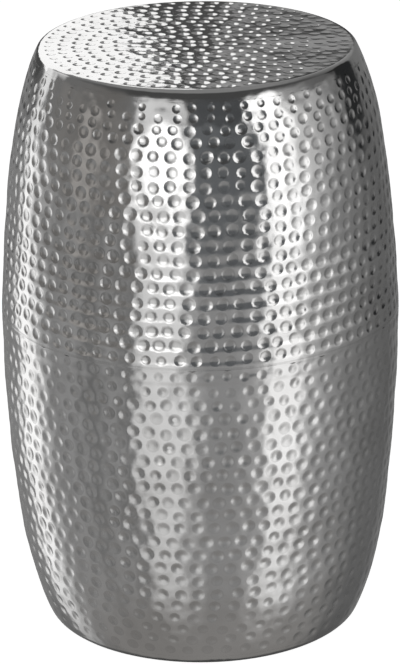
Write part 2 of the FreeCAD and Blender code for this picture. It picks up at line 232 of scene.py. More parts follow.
# %% Card and flag for the top
def stand_behind(name, corners, distance, light):
    """A glowing plane upright behind the drum, with its corners at given places across and heights."""
    bpy.ops.object.select_all(action="DESELECT")
    bpy.ops.mesh.primitive_plane_add(size=1.0)
    sheet = bpy.context.object
    sheet.name = name
    for vertex, (across, height) in zip(sheet.data.vertices, corners):
        vertex.co = (across, distance, height)
    sheet.visible_camera = False
    sheet.visible_shadow = False
    sheet.visible_diffuse = False
    glow = bpy.data.materials.new(name + "_glow")
    glow.use_nodes = True
    nodes, links = glow.node_tree.nodes, glow.node_tree.links
    nodes.clear()
    lamp = nodes.new("ShaderNodeEmission")
    lamp.inputs["Strength"].default_value = light
    links.new(lamp.outputs["Emission"], nodes.new("ShaderNodeOutputMaterial").inputs["Surface"])
    sheet.data.materials.append(glow)
    print(name, [round(v, 3) for v in sheet.dimensions])


CARD_DISTANCE = 1.10
FLAG_DISTANCE = 1.12
CARD_LIGHT = 1.06
FLAG_LIGHT = 0.07
CARD_LEFT = -1.54
CARD_RIGHT = 0.002
CARD_FOOT = 0.62
CARD_JOIN = 0.90
CARD_TOP = 1.74
lower_part = [
    (CARD_LEFT, CARD_FOOT), (-0.129, CARD_FOOT), (CARD_LEFT, CARD_JOIN), (CARD_RIGHT, CARD_JOIN),
]
upper_part = [
    (CARD_LEFT, CARD_JOIN), (CARD_RIGHT, CARD_JOIN), (CARD_LEFT, CARD_TOP), (CARD_RIGHT, CARD_TOP),
]
flag = [(-0.14, CARD_FOOT), (0.073, CARD_FOOT), (-0.03, 0.89), (-0.004, 0.89)]
stand_behind("white_card", lower_part, CARD_DISTANCE, CARD_LIGHT)
stand_behind("upper_card", upper_part, CARD_DISTANCE, CARD_LIGHT)
stand_behind("dark_flag", flag, FLAG_DISTANCE, FLAG_LIGHT)

# %% [markdown]
# The floor is plain and pale. It takes the drum's soft shadow as a matt surface
# does, and for the camera a little light of its own lifts it to white. The
# metal looks past it to the glare of the ground. A shadow could also be added
# after the render, but this one follows the drum in every view.

# %% Floor
FLOOR_GLOW = 0.90
bpy.ops.object.select_all(action="DESELECT")
bpy.ops.mesh.primitive_plane_add(size=24.0, location=(0.0, 0.0, 0.0))
floor = bpy.context.object
floor.name = "floor"
floor.visible_glossy = False
pale = bpy.data.materials.new("pale_floor")
pale.use_nodes = True
nodes, links = pale.node_tree.nodes, pale.node_tree.links
nodes.clear()
matt = nodes.new("ShaderNodeBsdfDiffuse")
matt.inputs["Color"].default_value = (0.80, 0.80, 0.80, 1.0)
lift = nodes.new("ShaderNodeEmission")
rays = nodes.new("ShaderNodeLightPath")
lift_strength = math_step(nodes, links, "MULTIPLY", rays.outputs["Is Camera Ray"], FLOOR_GLOW)
links.new(lift_strength, lift.inputs["Strength"])
both = nodes.new("ShaderNodeAddShader")
links.new(matt.outputs["BSDF"], both.inputs[0])
links.new(lift.outputs["Emission"], both.inputs[1])
surface = nodes.new("ShaderNodeOutputMaterial")
links.new(both.outputs["Shader"], surface.inputs["Surface"])
floor.data.materials.append(pale)
print("floor", floor.dimensions[:2])

# %% [markdown]
# ## The bright metal
# Beaten metal is polished unevenly: the sheet between the blows is rubbed
# bright, and a thin haze of fingermarks and fine scratches lies over all. The
# blows are darker, partly from the duller polish left in them and partly as
# painted shade in their hollows. A picture of such metal could be wrapped
# round each piece. Noise on the object's own coordinates needs no unwrapping
# and fits every piece, so all the finishes are made of it.


# %% Noise and colours for a finish
def link_noise(nodes, links, coordinate, scale, detail, stretch=(1.0, 1.0, 1.0)):
    """Noise on the object's own coordinates, stretched along an axis for scratches."""
    place = nodes.new("ShaderNodeMapping")
    place.inputs["Scale"].default_value = stretch
    links.new(coordinate, place.inputs["Vector"])
    noise = nodes.new("ShaderNodeTexNoise")
    noise.inputs["Scale"].default_value = scale
    noise.inputs["Detail"].default_value = detail
    links.new(place.outputs["Vector"], noise.inputs["Vector"])
    return noise.outputs["Fac"]


def two_colours(nodes, links, value, start, first, end, last):
    """Goes from the first colour to the last while the value goes from start to end."""
    tint = nodes.new("ShaderNodeValToRGB")
    for element, position, colour in zip(tint.color_ramp.elements, (start, end), (first, last)):
        element.position = position
        element.color = (*colour, 1.0)
    links.new(value, tint.inputs["Fac"])
    return tint.outputs["Color"]


RUBBED = (0.87, 0.866, 0.860)
# The blows' colour is darker: partly their duller polish, partly painted shade in their hollows.
DULLED_AND_SHADED_BLOW = (0.80, 0.796, 0.790)
print("a blow is", round(DULLED_AND_SHADED_BLOW[0] / RUBBED[0], 2), "times as bright as the sheet round it")

# %% [markdown]
# One function makes a worn metal, with its colour, its haze, its soft waves and
# its fine grain from noise at four sizes. The wall and the top have a metal for
# the sheet between the blows and another for the blows.


# %% Metal finishes
def bright_metal(name, pale_colour, dull_colour, smooth, hazy, grain, wave=0.00060):
    """A worn polished metal of two colours and a range of roughness, with soft waves and a fine grain."""
    metal = bpy.data.materials.new(name)
    metal.use_nodes = True
    nodes, links = metal.node_tree.nodes, metal.node_tree.links
    shader = nodes["Principled BSDF"]
    shader.inputs["Metallic"].default_value = 1.0
    place = nodes.new("ShaderNodeTexCoord").outputs["Object"]
    cloud = link_noise(nodes, links, place, scale=14.0, detail=4.0)
    scratch = link_noise(nodes, links, place, scale=220.0, detail=3.0, stretch=(1.0, 1.0, 0.12))
    dust = link_noise(nodes, links, place, scale=900.0, detail=2.0)
    swell = link_noise(nodes, links, place, scale=75.0, detail=1.0)
    tint = two_colours(nodes, links, cloud, 0.32, dull_colour, 0.62, pale_colour)
    links.new(tint, shader.inputs["Base Color"])
    haze = nodes.new("ShaderNodeMapRange")
    haze.inputs["From Min"].default_value = 0.12
    haze.inputs["From Max"].default_value = 0.42
    haze.inputs["To Min"].default_value = smooth
    haze.inputs["To Max"].default_value = hazy
    links.new(math_step(nodes, links, "MULTIPLY", cloud, scratch), haze.inputs["Value"])
    links.new(haze.outputs["Result"], shader.inputs["Roughness"])
    waves = nodes.new("ShaderNodeBump")
    waves.inputs["Distance"].default_value = wave
    links.new(swell, waves.inputs["Height"])
    bump = nodes.new("ShaderNodeBump")
    bump.inputs["Strength"].default_value = grain
    bump.inputs["Distance"].default_value = 0.0004
    links.new(dust, bump.inputs["Height"])
    links.new(waves.outputs["Normal"], bump.inputs["Normal"])
    links.new(bump.outputs["Normal"], shader.inputs["Normal"])
    return metal


ridge_metal = bright_metal(
    "beaten_ridges", RUBBED, (0.78, 0.773, 0.765), smooth=0.06, hazy=0.16, grain=0.03,
)
# The wall's blows take a darker metal: partly a duller polish, partly painted shade in the hollows.
blow_metal = bright_metal(
    "beaten_blows", DULLED_AND_SHADED_BLOW, (0.66, 0.653, 0.645), smooth=0.12, hazy=0.22, grain=0.03,
)
soft_blows = bright_metal(
    "soft_blows", DULLED_AND_SHADED_BLOW, (0.69, 0.683, 0.675), smooth=0.15, hazy=0.26, grain=0.03,
)
top_ridges = bright_metal(
    "top_ridges", RUBBED, (0.80, 0.794, 0.786), smooth=0.05, hazy=0.12, grain=0.02, wave=0.00035,
)
top_blows = bright_metal(
    "top_blows", RUBBED, (0.79, 0.784, 0.776), smooth=0.05, hazy=0.14, grain=0.02, wave=0.00020,
)
print("metals:", [metal.name for metal in (ridge_metal, blow_metal, soft_blows, top_ridges, top_blows)])

# %% [markdown]
# ## The smooth form
# Before the hammer the barrel is a smooth turned shape: a flat top, a tight
# rim, a round shoulder, a long shallow swell at the waist, and the same again
# down to the foot. A cylinder could be bulged by eye, but here the outline is
# arcs that meet without a kink, the wall's own arcs from the CAD model, and
# every later step can ask for the wall's radius and lean at a height.

# %% Outline of the barrel
WAIST_RADIUS = 0.150
WAIST_ARC = 1.047
SHOULDER_RISE = 0.161
SHOULDER_ARC = 0.2234
RIM_ARC = 0.0050
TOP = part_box("top_plate")[1][2]
HALF_HEIGHT = TOP - DRUM_MIDDLE
waist_lean = math.asin(SHOULDER_RISE / WAIST_ARC)
shoulder_centre = (
    WAIST_RADIUS - WAIST_ARC + (WAIST_ARC - SHOULDER_ARC) * math.cos(waist_lean),
    (WAIST_ARC - SHOULDER_ARC) * math.sin(waist_lean),
)
rim_rise = HALF_HEIGHT - RIM_ARC
rim_lean = math.asin((rim_rise - shoulder_centre[1]) / (SHOULDER_ARC - RIM_ARC))
disc_radius = shoulder_centre[0] + (SHOULDER_ARC - RIM_ARC) * math.cos(rim_lean)
rim_end_rise = rim_rise + RIM_ARC * math.sin(rim_lean)


def wall_radius(height, depth=0.0):
    """Radius of the wall at a height, or of a surface that lies a depth under it."""
    rise = abs(height - DRUM_MIDDLE)
    if rise <= SHOULDER_RISE * (WAIST_ARC - depth) / WAIST_ARC:
        return WAIST_RADIUS - WAIST_ARC + math.sqrt((WAIST_ARC - depth) ** 2 - rise**2)
    return shoulder_centre[0] + math.sqrt((SHOULDER_ARC - depth) ** 2 - (rise - shoulder_centre[1]) ** 2)


def wall_lean(height):
    """How far the wall's face leans up from level at a height, in radians."""
    rise = height - DRUM_MIDDLE
    if abs(rise) <= SHOULDER_RISE:
        return math.asin(rise / WAIST_ARC)
    return math.copysign(math.asin((abs(rise) - shoulder_centre[1]) / SHOULDER_ARC), rise)


def rim_point(lean):
    """Point of the rim's bend whose face leans up by an angle, as radius and height."""
    return (
        disc_radius + RIM_ARC * math.cos(lean),
        DRUM_MIDDLE + rim_rise + RIM_ARC * math.sin(lean),
    )


print("flat top radius", round(disc_radius, 4), "rim leans", round(math.degrees(rim_lean), 1))

# %% [markdown]
# To draw the form, one point is pushed along the outline and the line is spun
# about the axis. A curve with a screw modifier would give the same. This way it
# is a mesh at once, and the same helper makes the linings and the weld rings.


# %% Draw and spin an outline
def spun(name, outline, steps):
    """Pushes one point along the outline of radii and heights, then spins the line round the axis."""
    bpy.ops.object.select_all(action="DESELECT")
    bpy.ops.mesh.primitive_plane_add(size=0.001)
    piece = bpy.context.object
    piece.name = name
    bpy.ops.object.mode_set(mode="EDIT")
    bpy.ops.mesh.select_mode(type="VERT")
    bpy.ops.mesh.merge(type="CENTER")
    bpy.ops.transform.translate(value=(outline[0][0], 0.0, outline[0][1]))
    for (radius, height), (next_radius, next_height) in zip(outline, outline[1:]):
        step = (next_radius - radius, 0.0, next_height - height)
        bpy.ops.mesh.extrude_vertices_move(TRANSFORM_OT_translate={"value": step})
    bpy.ops.mesh.select_all(action="SELECT")
    bpy.ops.mesh.spin(steps=steps, angle=math.tau, center=(0.0, 0.0, 0.0), axis=(0.0, 0.0, 1.0))
    bpy.ops.mesh.select_all(action="SELECT")
    bpy.ops.mesh.remove_doubles(threshold=0.00002)
    bpy.ops.mesh.normals_make_consistent(inside=False)
    bpy.ops.object.mode_set(mode="OBJECT")
    return piece


DISC_STEPS = 24
RIM_STEPS = 12
WALL_STEPS = 120
ROUND_STEPS = 288
bend = [rim_lean + (math.pi / 2 - rim_lean) * i / RIM_STEPS for i in range(RIM_STEPS, -1, -1)]
rim_outline = [rim_point(lean) for lean in bend]
wall_heights = [DRUM_MIDDLE + rim_end_rise * (1 - 2 * i / WALL_STEPS) for i in range(1, WALL_STEPS)]
outline = [(0.0, TOP)] + [(disc_radius * i / DISC_STEPS, TOP) for i in range(1, DISC_STEPS)]
outline += rim_outline
outline += [(wall_radius(height), height) for height in wall_heights]
outline += [(radius, 2 * DRUM_MIDDLE - height) for radius, height in reversed(rim_outline)]
form = spun("smooth_form", outline, ROUND_STEPS)
print("form:", len(form.data.vertices), "points")

# %% [markdown]
# Nobody beats a sheet quite true. A cloudy texture pushes the form in by about
# a millimetre, here more and there less, so the reflections wander. It hardly
# ever pushes out, so the drum keeps its size, and it dies away at the three
# welds, where the sheets were held true to each other. The top takes less. The
# sheet could be sculpted by hand, but a texture gives the same one in each run.


# %% Slight unevenness of the form
def apply_modifier(piece, kind, **settings):
    """Adds one modifier to the piece, sets it and applies it."""
    bpy.ops.object.mode_set(mode="OBJECT")
    bpy.context.view_layer.objects.active = piece
    modifier = piece.modifiers.new(kind.lower(), kind)
    for name, value in settings.items():
        setattr(modifier, name, value)
    bpy.ops.object.modifier_apply(modifier=modifier.name)


WELDS = ("rim_weld", "girth_weld", "base_weld")
TRUE_REACH = 0.030
TOP_SHARE = 0.462
weld_heights = [sum(corner[2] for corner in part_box(weld)) / 2 for weld in WELDS]
loose = form.vertex_groups.new(name="loose_sheet")
for vertex in form.data.vertices:
    away = min(abs(vertex.co.z - height) for height in weld_heights)
    on_top = math.hypot(vertex.co.x, vertex.co.y) < disc_radius and vertex.co.z > DRUM_MIDDLE
    share = TOP_SHARE if on_top else min(1.0, away / TRUE_REACH)
    loose.add([vertex.index], share * share * (3 - 2 * share), "REPLACE")
cloud = bpy.data.textures.new("uneven_sheet", "CLOUDS")
cloud.noise_scale = 0.040
cloud.noise_depth = 1
apply_modifier(
    form, "DISPLACE", texture=cloud, texture_coords="LOCAL", direction="NORMAL",
    strength=0.0019, mid_level=0.9, vertex_group="loose_sheet",
)
print("form radius", round(max(math.hypot(v.co.x, v.co.y) for v in form.data.vertices), 5))

# %% [markdown]
# ## Hammer blows
# Each blow is a shallow round dish with a soft lip. They stand in rings that
# were struck by eye, some closer, some heavier. A bump texture would be quicker,
# but blows that are only shaded vanish at the drum's outline, so here each one
# is in the mesh. A net of points, one point per blow, is the plan: cutting each
# point's corner off in a round bevel leaves a round face. First come the sizes
# of the blows and their true round rims.

# %% Round faces for the blows
NEXT_BLOW_SHARE = 0.486
PLAIN_POINT_SHARE = 0.82
SIZE_SPREAD = (0.90, 1.08)


def blow_sizes(piece, struck, radius_of, seed):
    """Radius of the blow at each struck point, as wide as it may be without meeting the next."""
    chance = random.Random(seed)
    room = {index: 1.0 for index in struck}
    for edge in piece.data.edges:
        ends = list(edge.vertices)
        length = (piece.data.vertices[ends[0]].co - piece.data.vertices[ends[1]].co).length
        for index, other in (ends, reversed(ends)):
            if index in room:
                share = NEXT_BLOW_SHARE if other in room else PLAIN_POINT_SHARE
                room[index] = min(room[index], length * share)
    return {
        index: min(limit, radius_of(piece.data.vertices[index].co) * chance.uniform(*SIZE_SPREAD))
        for index, limit in room.items()
    }


def round_rims(piece, middles):
    """Sets the rim of each blow on a true circle about its middle, where a slanted net made it oval."""
    bpy.ops.object.mode_set(mode="OBJECT")
    finder = KDTree(len(middles))
    for number, (middle, _) in enumerate(middles):
        finder.insert(middle, number)
    finder.balance()
    for face in piece.data.polygons:
        if face.material_index == 1:
            middle, radius = middles[finder.find(face.center)[1]]
            for index in face.vertices:
                spoke = piece.data.vertices[index].co - middle
                spoke -= spoke.project(face.normal)
                piece.data.vertices[index].co = middle + spoke.normalized() * radius


print("blows take at most", NEXT_BLOW_SHARE, "of the way to the next")

# %% [markdown]
# Insetting and poking a round face dishes it. A dish is a list of insets, each
# with its width and its drop as shares of the blow's radius and depth, and the
# poke takes the rest of the drop. The first inset stays level: it holds the
# sheet between the blows, which swells a little, and the lip bends only inside
# it. Each blow could be dished by itself, but the faces are sorted by width and
# by weight, so that one inset serves a whole sort at once. The hammer's faces
# are listed as radii and its weights as depths, in shares of the radius.

# %% The hammer
HAMMER_FACES = (0.0037, 0.0045, 0.0053)
WEIGHTS = (0.040, 0.065, 0.085, 0.105, 0.130)
FULL_WEIGHT = 3
UNSTEADY_HAND = 1.4
SORTS = len(HAMMER_FACES) * len(WEIGHTS)


def pick(piece, kind, test):
    """Selects the vertices, edges or faces of the piece that pass the test, in edit mode."""
    bpy.ops.object.mode_set(mode="EDIT")
    bpy.ops.mesh.select_mode(type=kind)
    bpy.ops.mesh.select_all(action="DESELECT")
    bpy.ops.object.mode_set(mode="OBJECT")
    parts = {"VERT": piece.data.vertices, "EDGE": piece.data.edges, "FACE": piece.data.polygons}[kind]
    for part in parts:
        part.select = bool(test(part))
    bpy.ops.object.mode_set(mode="EDIT")


def hammer(piece, sizes, dish, depth, force, swell, metals, seed):
    """Makes a dished round blow at each point in sizes, with a force, and swells the sheet between."""
    while len(piece.data.materials) < 1 + SORTS:
        piece.data.materials.append(metals[1] if piece.data.materials else metals[0])
    widest = max(sizes.values())
    middles = [(piece.data.vertices[index].co.copy(), radius) for index, radius in sizes.items()]
    plan = piece.vertex_groups.new(name="blows")
    for index, radius in sizes.items():
        plan.add([index], radius / widest, "REPLACE")
    apply_modifier(
        piece, "BEVEL", affect="VERTICES", width=widest, segments=2, profile=0.17,
        limit_method="VGROUP", vertex_group="blows", material=1, use_clamp_overlap=False,
    )
    piece.vertex_groups.clear()
    pick(piece, "FACE", lambda face: face.material_index == 1)
    bpy.ops.mesh.dissolve_faces()
    round_rims(piece, middles)
    apply_modifier(piece, "SHRINKWRAP", target=form, wrap_method="NEAREST_SURFACEPOINT")
    pick(piece, "FACE", lambda face: face.material_index == 0 and len(face.vertices) > 4)
    bpy.ops.mesh.poke(offset=swell)
    bpy.ops.object.mode_set(mode="OBJECT")
    chance = random.Random(seed)
    for face in piece.data.polygons:
        if face.material_index == 1:
            radius = math.sqrt(face.area / math.pi)
            size = min(range(len(HAMMER_FACES)), key=lambda i: abs(HAMMER_FACES[i] - radius))
            weight = round(force(face.center) * FULL_WEIGHT + chance.uniform(-UNSTEADY_HAND, UNSTEADY_HAND))
            face.material_index = 1 + len(WEIGHTS) * size + min(max(weight, 0), len(WEIGHTS) - 1)
    for sort in range(SORTS):
        face_radius = HAMMER_FACES[sort // len(WEIGHTS)]
        deep = depth * WEIGHTS[sort % len(WEIGHTS)] * face_radius
        pick(piece, "FACE", lambda face: face.material_index == 1 + sort)
        for width, drop in dish:
            bpy.ops.mesh.inset(thickness=width * face_radius, depth=-drop * deep, use_individual=True)
        bpy.ops.mesh.poke(offset=-deep * (1.0 - sum(drop for _, drop in dish)))
    bpy.ops.object.mode_set(mode="OBJECT")
    for face in piece.data.polygons:
        face.material_index = min(face.material_index, 1)
    bpy.ops.object.material_slot_remove_unused()


print("sorts of blow:", SORTS)

# %% [markdown]
# ## The wall
# The wall is two shells, welded at the girth, and its blows go round in rings.
# The rings could stand at even heights, but the wall leans in at both ends, so
# the gaps between them are measured along the wall. They are listed from the
# top down, about in millimetres, and are stretched to fill the shell.

# %% Heights of the rings
FINE_STEPS = 400
UPPER_GAPS = [3.9, 7.6, 8.2, 8.9] + [10.4] * 15 + [5.4]
LOWER_GAPS = [5.4] + [10.7] * 18 + [10.2] * 3 + [7.0]


def ring_heights(low, high, gaps):
    """Heights of the rings of blows from the top edge down, stretched to end at the low edge."""
    fine = [high - (high - low) * i / FINE_STEPS for i in range(FINE_STEPS + 1)]
    along = [0.0]
    for above, below in zip(fine, fine[1:]):
        along.append(along[-1] + (above - below) / math.cos(wall_lean((above + below) / 2)))
    total = sum(gaps)
    heights = []
    reach = 0.0
    for gap in gaps[:-1]:
        reach += gap * along[-1] / total
        nearest = min(range(FINE_STEPS + 1), key=lambda i: abs(along[i] - reach))
        heights.append(fine[nearest])
    return heights


upper_low, upper_high = (corner[2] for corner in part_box("upper_shell"))
lower_low, lower_high = (corner[2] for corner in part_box("lower_shell"))
upper_rings = ring_heights(upper_low, upper_high, UPPER_GAPS)
lower_rings = ring_heights(lower_low, lower_high, LOWER_GAPS)
print("rings:", len(upper_rings), "above the girth and", len(lower_rings), "below")

# %% [markdown]
# Each shell starts as a net of circles, one per ring of blows, with as many
# points as blows fit round it. A grid rolled up would put the blows in straight
# columns. So the circles are turned at random and bridged, and each point is
# shaken, because a hammer is aimed by eye. The two edges have more points than
# the rings, so that they stay truly round at the welds.

# %% Nets for the two shells
EDGE_POINTS = 150
EDGE_MARGIN = 0.001
RING_SLACK = 0.0002
BLOW_PITCH = 0.0125
FOOT_PITCH_GAIN = 0.0020
GAIN_STARTS = 0.13
GAIN_SPAN = 0.10


def lies_level(piece, edge, height, slack):
    """Whether both ends of an edge are at a height, give or take a slack."""
    return all(abs(piece.data.vertices[i].co.z - height) < slack for i in edge.vertices)


def blow_pitch(height):
    """Distance between the blows of a ring, wider toward the foot."""
    return BLOW_PITCH + FOOT_PITCH_GAIN * min(1.0, max(0.0, (GAIN_STARTS - height) / GAIN_SPAN))


def shell_net(name, low, high, rings, seed):
    """A net of bridged circles with a point for each blow, shaken at random and laid on the form."""
    chance = random.Random(seed)
    heights = [high, *rings, low]
    bpy.ops.object.select_all(action="DESELECT")
    for height in heights:
        radius = wall_radius(height)
        count, turn = EDGE_POINTS, math.pi / EDGE_POINTS
        if height in rings:
            count, turn = round(math.tau * radius / blow_pitch(height)), chance.uniform(0.0, math.tau)
        bpy.ops.mesh.primitive_circle_add(
            vertices=count, radius=radius, location=(0.0, 0.0, height), rotation=(0.0, 0.0, turn),
        )
        bpy.ops.object.mode_set(mode="EDIT")
    bpy.ops.object.mode_set(mode="OBJECT")
    bpy.ops.object.transform_apply(location=True, rotation=True, scale=True)
    net = bpy.context.object
    net.name = name
    for pair in zip(heights, heights[1:]):
        pick(net, "EDGE", lambda edge: any(lies_level(net, edge, height, RING_SLACK) for height in pair))
        bpy.ops.mesh.bridge_edge_loops()
    bpy.ops.mesh.select_all(action="SELECT")
    bpy.ops.mesh.quads_convert_to_tris()
    bpy.ops.mesh.normals_make_consistent(inside=False)
    pick(net, "VERT", lambda vertex: low + EDGE_MARGIN < vertex.co.z < high - EDGE_MARGIN)
    bpy.ops.transform.vertex_random(offset=0.0009, uniform=1.0, normal=0.0, seed=seed)
    apply_modifier(net, "SHRINKWRAP", target=form, wrap_method="NEAREST_SURFACEPOINT")
    return net


upper_wall = shell_net("upper_wall", upper_low, upper_high, upper_rings, 3)
lower_wall = shell_net("lower_wall", lower_low, lower_high, lower_rings, 8)
for wall in (upper_wall, lower_wall):
    print(wall.name, "net:", len(wall.data.vertices), "points")

# %% [markdown]
# The blows get narrower toward the rim, the girth and the foot, and those of
# the lower shell get lighter toward the foot, as in the photograph. The upper
# shell was struck with a flat hammer, which leaves pans with a steep side and a
# flat bottom, the lower one with a rounder hammer, which leaves soft hollows.
# One dish for both would be simpler, but the two halves mirror the room in
# plainly different ways.

# %% How each shell is struck
PAN_DISH = ((0.07, 0.0), (0.23, 0.60), (0.30, 0.31))
SOFT_DISH = ((0.05, 0.0), (0.28, 0.34), (0.36, 0.46))
SWELL_END = 0.14
NARROWING = 0.012
UPPER_FACE = 0.0056
LOWER_FACE = 0.0053
GIRTH_FACE = 0.0038
GIRTH_WIDENING = 0.035
FOOT_FORCE = 0.3
FOOT_HEIGHT = 0.02
FORCE_RISE = 0.13


def upper_width(place):
    """Half the width of a blow on the upper shell, less toward the rim."""
    return UPPER_FACE - NARROWING * max(0.0, place.z - DRUM_MIDDLE - SWELL_END)


def lower_width(place):
    """Half the width of a blow on the lower shell, less just under the girth and toward the foot."""
    under_girth = GIRTH_FACE + GIRTH_WIDENING * (lower_high - place.z)
    return min(LOWER_FACE, under_girth, LOWER_FACE - NARROWING * (DRUM_MIDDLE - place.z - SWELL_END))


def full_force(place):
    """Force of a blow on the upper shell, the same at every place."""
    return 1.0


def dying_force(place):
    """Force of a blow on the lower shell, less toward the foot."""
    return min(1.0, FOOT_FORCE + max(0.0, place.z - FOOT_HEIGHT) / FORCE_RISE)


upper_manner = dict(
    dish=PAN_DISH, depth=1.04, force=full_force, swell=0.00010, metals=(ridge_metal, blow_metal),
)
lower_manner = dict(
    dish=SOFT_DISH, depth=1.15, force=dying_force, swell=0.00012, metals=(ridge_metal, soft_blows),
)
print("force at the foot", round(dying_force(Vector((0.0, 0.0, lower_low))), 2), "of full")

# %% [markdown]
# A shell has two faces. The outer one is struck, and the inner one stays a
# smooth spun lining, set in by the thickness of the sheet. A solidify modifier
# would copy every blow to the inside, where nobody sees it. So the two faces are
# joined instead and their edges bridged, which closes the sheet.

# %% Strike the shells and line them
SHEET = 0.002
EDGE_SHARE = 0.84
EDGE_SLACK = 0.0006
LINING_STEPS = 16
SMOOTH_ANGLE = math.radians(40)


def beaten_shell(net, low, high, face_width, manner, seed):
    """Hammers the net in a given manner, gives it its smooth inner face and closes both edges."""
    struck = [v.index for v in net.data.vertices if low + EDGE_MARGIN < v.co.z < high - EDGE_MARGIN]

    def wide(place):
        to_edge = min(place.z - low, high - place.z) / math.cos(wall_lean(place.z))
        return min(face_width(place), EDGE_SHARE * to_edge)

    sizes = blow_sizes(net, struck, wide, seed)
    hammer(net, sizes, **manner, seed=seed)
    heights = [high - (high - low) * i / LINING_STEPS for i in range(LINING_STEPS + 1)]
    lining = spun("lining", [(wall_radius(height, SHEET), height) for height in heights], EDGE_POINTS)
    lining.data.materials.append(ridge_metal)
    lining.data.flip_normals()
    lining.select_set(True)
    net.select_set(True)
    bpy.context.view_layer.objects.active = net
    bpy.ops.object.join()
    for edge_height in (low, high):
        pick(net, "EDGE", lambda edge: lies_level(net, edge, edge_height, EDGE_SLACK))
        bpy.ops.mesh.bridge_edge_loops()
    bpy.ops.object.mode_set(mode="OBJECT")
    bpy.ops.object.shade_smooth_by_angle(angle=SMOOTH_ANGLE, keep_sharp_edges=True)


for wall, node, low, high, face_width, manner, seed in (
    (upper_wall, "upper_shell", upper_low, upper_high, upper_width, upper_manner, 21),
    (lower_wall, "lower_shell", lower_low, lower_high, lower_width, lower_manner, 34),
):
    beaten_shell(wall, low, high, face_width, manner, seed)
    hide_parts(node)
    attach(wall, "root")
    print(wall.name, "faces:", len(wall.data.polygons))

# %% [markdown]
# Above the girth the rows were struck so close that each lies in a soft level
# furrow of its own. That is too shallow to model: a cosine of the height goes
# into the bump of the two metals, one wave to a row, and noise breaks it up.
# The furrows come and go softly. Where they do is counted in rows, below and
# above the lowest row of the upper shell.

# %% Furrows above the girth
FURROW_DEPTH = 0.00017
ROWS_BELOW = (2.8, 1.2)
ROWS_ABOVE = (9.0, 4.0)


def press_furrows(metal, row, pitch, depth):
    """Adds level furrows to the bump of a metal, with a trough at the height of each row."""
    nodes, links = metal.node_tree.nodes, metal.node_tree.links
    place = nodes.new("ShaderNodeTexCoord").outputs["Object"]
    axes = nodes.new("ShaderNodeSeparateXYZ")
    links.new(place, axes.inputs["Vector"])
    height = axes.outputs["Z"]
    above_row = math_step(nodes, links, "SUBTRACT", height, row)
    turns = math_step(nodes, links, "MULTIPLY", above_row, math.tau / pitch)
    troughs = math_step(nodes, links, "COSINE", turns, 0.0)
    crests = math_step(nodes, links, "MULTIPLY", troughs, -1.0)
    coming = fade(nodes, links, height, *(row - rows * pitch for rows in ROWS_BELOW))
    going = fade(nodes, links, height, *(row + rows * pitch for rows in ROWS_ABOVE))
    zone = math_step(nodes, links, "MULTIPLY", coming, going)
    patches = fade(nodes, links, link_noise(nodes, links, place, scale=9.0, detail=1.0), 0.26, 0.48)
    strength = math_step(nodes, links, "MULTIPLY", zone, patches)
    pressed = nodes.new("ShaderNodeBump")
    pressed.inputs["Distance"].default_value = depth
    links.new(math_step(nodes, links, "MULTIPLY", crests, strength), pressed.inputs["Height"])
    first_bump = next(node for node in nodes if node.bl_idname == "ShaderNodeBump")
    links.new(pressed.outputs["Normal"], first_bump.inputs["Normal"])


row_pitch = upper_rings[-2] - upper_rings[-1]
for metal in (ridge_metal, blow_metal):
    press_furrows(metal, upper_rings[-1], row_pitch, FURROW_DEPTH)
print("row pitch at the girth", round(row_pitch, 5))

# %% [markdown]
# ## The top
# The top is a flat disc whose edge rolls over into the wall. Its blows lie in
# rings about the middle, so a square net won't do: each ring is a circle with
# as many points as fit round it, and the strip between two rings is filled.

# %% Rings of the top
RINGS = 11
RING_STEP = 0.01036
FIRST_RING = 0.0062
TOP_PITCH = 0.0110
top_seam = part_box("rim_weld")[1][2]
ring_radii = [FIRST_RING + RING_STEP * i for i in range(RINGS)]
chance = random.Random(5)
bpy.ops.object.select_all(action="DESELECT")
for radius in ring_radii:
    bpy.ops.mesh.primitive_circle_add(
        vertices=max(4, round(math.tau * radius / TOP_PITCH)), radius=radius, location=(0.0, 0.0, TOP),
        rotation=(0.0, 0.0, chance.uniform(0.0, math.tau)),
    )
    bpy.ops.object.mode_set(mode="EDIT")
top_net = bpy.context.object
top_net.name = "beaten_top"
bpy.ops.object.mode_set(mode="OBJECT")
bpy.ops.object.transform_apply(location=True, rotation=True, scale=True)


def rings_of(edge):
    """Numbers of the rings of blows that the ends of an edge of the top lie on."""
    ends = (top_net.data.vertices[i].co for i in edge.vertices)
    return {round((math.hypot(end.x, end.y) - ring_radii[0]) / RING_STEP) for end in ends}


for inner in range(RINGS - 1):
    pick(top_net, "EDGE", lambda edge: rings_of(edge) in ({inner}, {inner + 1}))
    bpy.ops.mesh.fill(use_beauty=True)
pick(top_net, "EDGE", lambda edge: rings_of(edge) == {0})
bpy.ops.mesh.edge_face_add()
print("rings of the top:", RINGS, "faces:", len(top_net.data.polygons))

# %% [markdown]
# The plain rim is pulled down from the last ring along the rim's bend, and gets
# twice as many points round. Then the points of the blows are shaken at random.

# %% Rim of the top
TOP_RIM_STEPS = 5
RIM_MARGIN = 0.002


def pull_ring(from_radius, to_radius, drop):
    """Extrudes the selected ring of edges to a new radius and lower by a drop."""
    bpy.ops.mesh.extrude_region_move(TRANSFORM_OT_translate={"value": (0.0, 0.0, -drop)})
    grow = to_radius / from_radius
    bpy.ops.transform.resize(value=(grow, grow, 1.0), center_override=(0.0, 0.0, 0.0))


def pull_along(outline):
    """Pulls the selected ring along an outline of radii and heights."""
    for (radius, height), (next_radius, next_height) in zip(outline, outline[1:]):
        pull_ring(radius, next_radius, height - next_height)


def out_on_rim(vertex):
    """Whether a point of the top lies past the last ring of blows."""
    return math.hypot(vertex.co.x, vertex.co.y) > ring_radii[-1] + RIM_MARGIN


